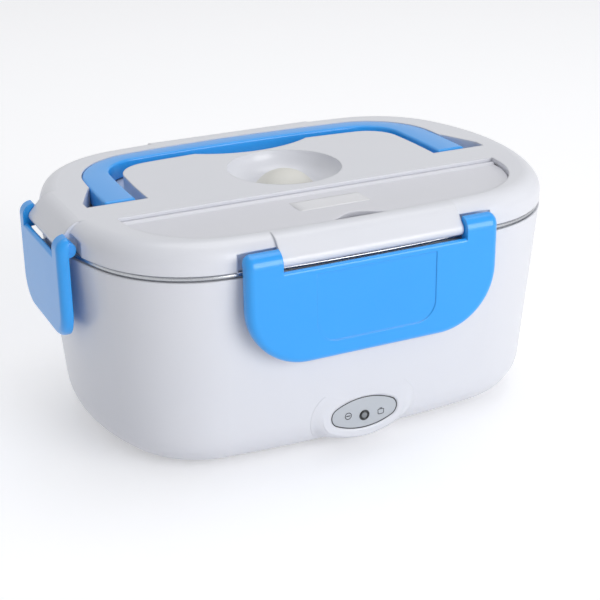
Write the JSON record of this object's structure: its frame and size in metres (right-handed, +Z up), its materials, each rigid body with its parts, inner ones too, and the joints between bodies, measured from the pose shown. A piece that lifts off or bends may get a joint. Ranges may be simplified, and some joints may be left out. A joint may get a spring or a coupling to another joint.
{
  "type": "electric lunch box",
  "caption": "Electric lunch box with a heated housing, a lift-out steel container, a lid that three hinged latches clip on, a carry handle and a spoon compartment.",
  "frame": {"origin": "on the table under the middle of the whole box; the housing's middle is 2.75 mm to the +X side of it, because only its left end carries a latch", "axes": "+X along the length, +Z up; the lamp is on the -Y side and the power inlet on the +Y side"},
  "size_m": [0.2294, 0.165, 0.107],
  "materials": {
    "white_plastic": "satin",
    "blue_plastic": "satin",
    "well_plastic": "matte",
    "cover_plastic": "satin",
    "liner_plastic": "satin",
    "steel": "brushed",
    "spoon_steel": "polished",
    "dish_plastic": "satin",
    "dish_cover_plastic": "matte",
    "silicone": "matte",
    "gasket_rubber": "matte",
    "foot_rubber": "matte",
    "plate_aluminium": "satin",
    "heater_film": "satin",
    "clamp_steel": "plated",
    "screw_steel": "plated",
    "thermostat_plastic": "matte",
    "fuse_ceramic": "matte",
    "board": "satin",
    "led": "gloss",
    "panel_plastic": "satin",
    "lens_plastic": "gloss",
    "inlet_plastic": "matte",
    "pin_brass": "plated"
  },
  "bodies": {
    "housing": {"outer_shell": "white_plastic", "inner_well": "well_plastic", "rubber_feet": "foot_rubber", "case_screws": "screw_steel", "heating_plate": "plate_aluminium", "ptc_heater": "heater_film", "heater_clamp": "clamp_steel", "clamp_screws": "screw_steel", "thermostat": "thermostat_plastic", "thermal_fuse": "fuse_ceramic", "indicator_board": "board", "indicator_led": "led", "lamp_panel": "panel_plastic", "lamp_lens": "lens_plastic", "inlet_socket": "inlet_plastic", "inlet_pins": "pin_brass"},
    "container": {"food_container": "steel"},
    "dish": {"side_dish": "dish_plastic"},
    "dish_cover": {"side_dish_cover": "dish_cover_plastic"},
    "lid": {"lid_shell": "white_plastic", "lid_liner": "liner_plastic", "lid_gasket": "gasket_rubber", "spoon": "spoon_steel"},
    "cover": {"spoon_cover": "cover_plastic"},
    "plug": {"vent_plug": "silicone"},
    "handle": {"carry_handle": "blue_plastic"},
    "latch_front": {"front_latch": "blue_plastic"},
    "latch_back": {"back_latch": "blue_plastic"},
    "latch_left": {"left_latch": "blue_plastic"}
  },
  "joints": [
    {"name": "container_lift", "type": "slide", "parent": "housing", "child": "container", "axis": [0, 0, 1], "range_m": [0, 0.075]},
    {"name": "dish_lift", "type": "slide", "parent": "container", "child": "dish", "axis": [0, 0, 1], "range_m": [0, 0.075]},
    {"name": "dish_cover_lift", "type": "slide", "parent": "dish", "child": "dish_cover", "axis": [0, 0, 1], "range_m": [0, 0.075]},
    {"name": "lid_lift", "type": "slide", "parent": "dish_cover", "child": "lid", "axis": [0, 0, 1], "range_m": [0, 0.075]},
    {"name": "cover_hinge", "type": "hinge", "parent": "lid", "child": "cover", "pos_m": [0.00275, -0.0268, 0.104], "axis": [-1, 0, 0], "range_deg": [0, 100]},
    {"name": "plug_pull", "type": "slide", "parent": "lid", "child": "plug", "axis": [0, 0, 1], "range_m": [0, 0.014]},
    {"name": "handle_hinge", "type": "hinge", "parent": "lid", "child": "handle", "pos_m": [0.00275, -0.0006, 0.102], "axis": [1, 0, 0], "range_deg": [0, 95]},
    {"name": "latch_front_hinge", "type": "hinge", "parent": "lid", "child": "latch_front", "pos_m": [0.00275, -0.0773, 0.0976], "axis": [-1, 0, 0], "range_deg": [0, 105]},
    {"name": "latch_back_hinge", "type": "hinge", "parent": "lid", "child": "latch_back", "pos_m": [0.00275, 0.0773, 0.0976], "axis": [1, 0, 0], "range_deg": [0, 105]},
    {"name": "latch_left_hinge", "type": "hinge", "parent": "lid", "child": "latch_left", "pos_m": [-0.10955, 0, 0.0976], "axis": [0, 1, 0], "range_deg": [0, 105]}
  ]
}
